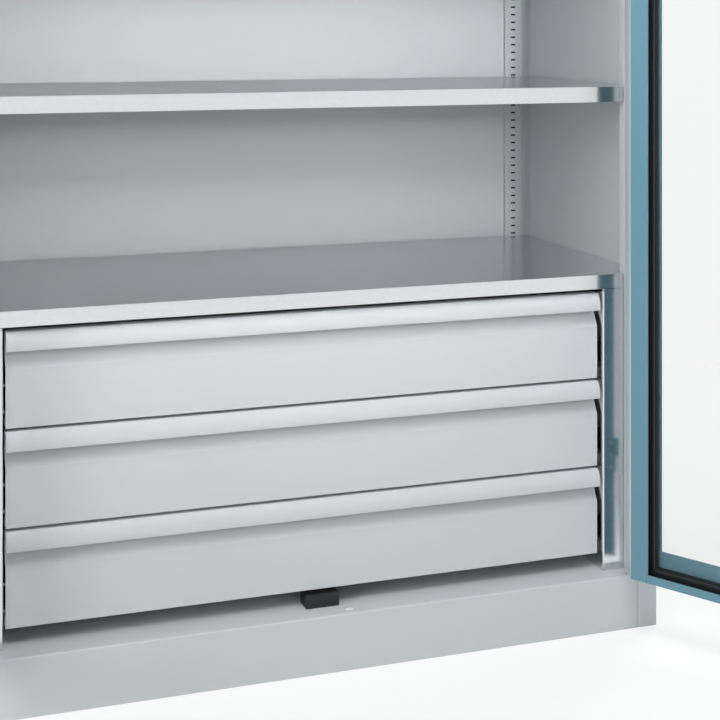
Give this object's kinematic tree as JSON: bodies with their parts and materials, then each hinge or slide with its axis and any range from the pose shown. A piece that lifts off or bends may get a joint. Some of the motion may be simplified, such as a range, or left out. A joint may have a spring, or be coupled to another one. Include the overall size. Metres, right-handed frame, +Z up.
{
  "type": "storage cabinet",
  "caption": "Steel storage cabinet with hinged doors around clear panes, slotted rails with adjustable shelves, and sliding drawers with full-width grips under a metal cover.",
  "frame": {"origin": "on the floor, under the middle of the carcass", "axes": "+Z up along the height, +X to the right and +Y to the back when seen from the front; the doors open towards -Y"},
  "size_m": [1.7174, 1.0013, 1.95],
  "materials": {
    "body": "light grey powder coat, satin",
    "fronts": "light grey powder coat, satin",
    "door": "pastel blue powder coat, satin",
    "galvanised": "galvanised sheet steel, semi-gloss",
    "steel": "zinc-plated steel",
    "pane": "clear pane",
    "ring": "black rubber, matt",
    "plastic": "black plastic, matt",
    "cylinder": "polished lock plug"
  },
  "bodies": {
    "carcass": {"side_panel_left": "body", "side_panel_right": "body", "back_panel": "body", "top_panel": "body", "base": "body", "plinth_rear": "body", "plinth_bearer": "body", "rail_rear_left": "body", "rail_rear_right": "body", "rail_front_left": "body", "rail_front_right": "body", "shelf_1": "galvanised", "shelf_2": "galvanised", "shelf_3": "galvanised", "shelf_clips_1": "steel", "shelf_clips_2": "steel", "shelf_clips_3": "steel", "drawer_cover": "galvanised", "housing_side_left": "galvanised", "housing_side_right": "galvanised", "slide_fixed_1_left": "steel", "slide_fixed_1_right": "steel", "slide_fixed_2_left": "steel", "slide_fixed_2_right": "steel", "slide_fixed_3_left": "steel", "slide_fixed_3_right": "steel", "hinge_jamb_leaves_left": "body", "hinge_jamb_leaves_right": "body", "hinge_pins_left": "steel", "hinge_pins_right": "steel", "floor_stop": "plastic"},
    "door_right": {"door_panel_right": "door", "pane_right": "pane", "glazing_ring_right": "ring", "hinge_door_leaves_right": "door", "astragal": "door", "handle_plate": "plastic", "rod_guides": "plastic"},
    "door_left": {"door_panel_left": "door", "pane_left": "pane", "glazing_ring_left": "ring", "hinge_door_leaves_left": "door"},
    "handle": {"turn_handle": "plastic", "lock_cam": "steel"},
    "upper_rod": {"rod_upper": "steel"},
    "lower_rod": {"rod_lower": "steel"},
    "lock_plug": {"lock_plug": "cylinder"},
    "drawer_1": {"drawer_front_1": "fronts", "drawer_box_1": "fronts", "slide_drawer_1": "steel"},
    "slide_1": {"slide_floating_1": "steel"},
    "drawer_2": {"drawer_front_2": "fronts", "drawer_box_2": "fronts", "slide_drawer_2": "steel"},
    "slide_2": {"slide_floating_2": "steel"},
    "drawer_3": {"drawer_front_3": "fronts", "drawer_box_3": "fronts", "slide_drawer_3": "steel"},
    "slide_3": {"slide_floating_3": "steel"}
  },
  "joints": [
    {"name": "door_right_hinge", "type": "hinge", "parent": "carcass", "child": "door_right", "pos_m": [0.5633, -0.254, 1], "axis": [0, 0, 1], "range_deg": [-121.7, 53.3]},
    {"name": "door_left_hinge", "type": "hinge", "parent": "carcass", "child": "door_left", "pos_m": [-0.5633, -0.254, 1], "axis": [0, 0, -1], "range_deg": [-121.7, 53.3]},
    {"name": "handle_turn", "type": "hinge", "parent": "door_right", "child": "handle", "pos_m": [0.83408, -0.70194, 1], "axis": [-0.8508, -0.5255, 0], "range_deg": [0, 90]},
    {"name": "upper_rod_slide", "type": "slide", "parent": "door_right", "child": "upper_rod", "axis": [0, 0, 1], "range_m": [0, 0.01697]},
    {"name": "lower_rod_slide", "type": "slide", "parent": "door_right", "child": "lower_rod", "axis": [0, 0, -1], "range_m": [0, 0.01697]},
    {"name": "lock_plug_turn", "type": "hinge", "parent": "door_right", "child": "lock_plug", "pos_m": [0.83408, -0.70194, 1.05], "axis": [-0.8508, -0.5255, 0], "range_deg": [0, 90]},
    {"name": "drawer_1_slide", "type": "slide", "parent": "carcass", "child": "drawer_1", "axis": [0, -1, 0], "range_m": [0, 0.4]},
    {"name": "slide_1_run", "type": "slide", "parent": "carcass", "child": "slide_1", "axis": [0, -1, 0], "range_m": [0, 0.2]},
    {"name": "drawer_2_slide", "type": "slide", "parent": "carcass", "child": "drawer_2", "axis": [0, -1, 0], "range_m": [0, 0.4]},
    {"name": "slide_2_run", "type": "slide", "parent": "carcass", "child": "slide_2", "axis": [0, -1, 0], "range_m": [0, 0.2]},
    {"name": "drawer_3_slide", "type": "slide", "parent": "carcass", "child": "drawer_3", "axis": [0, -1, 0], "range_m": [0, 0.4]},
    {"name": "slide_3_run", "type": "slide", "parent": "carcass", "child": "slide_3", "axis": [0, -1, 0], "range_m": [0, 0.2]}
  ],
  "couplings": [
    {"joint": "upper_rod_slide", "follows": "handle_turn", "m_per_rad": 0.010804},
    {"joint": "lower_rod_slide", "follows": "handle_turn", "m_per_rad": 0.010804},
    {"joint": "slide_1_run", "follows": "drawer_1_slide", "ratio": 0.5},
    {"joint": "slide_2_run", "follows": "drawer_2_slide", "ratio": 0.5},
    {"joint": "slide_3_run", "follows": "drawer_3_slide", "ratio": 0.5}
  ]
}
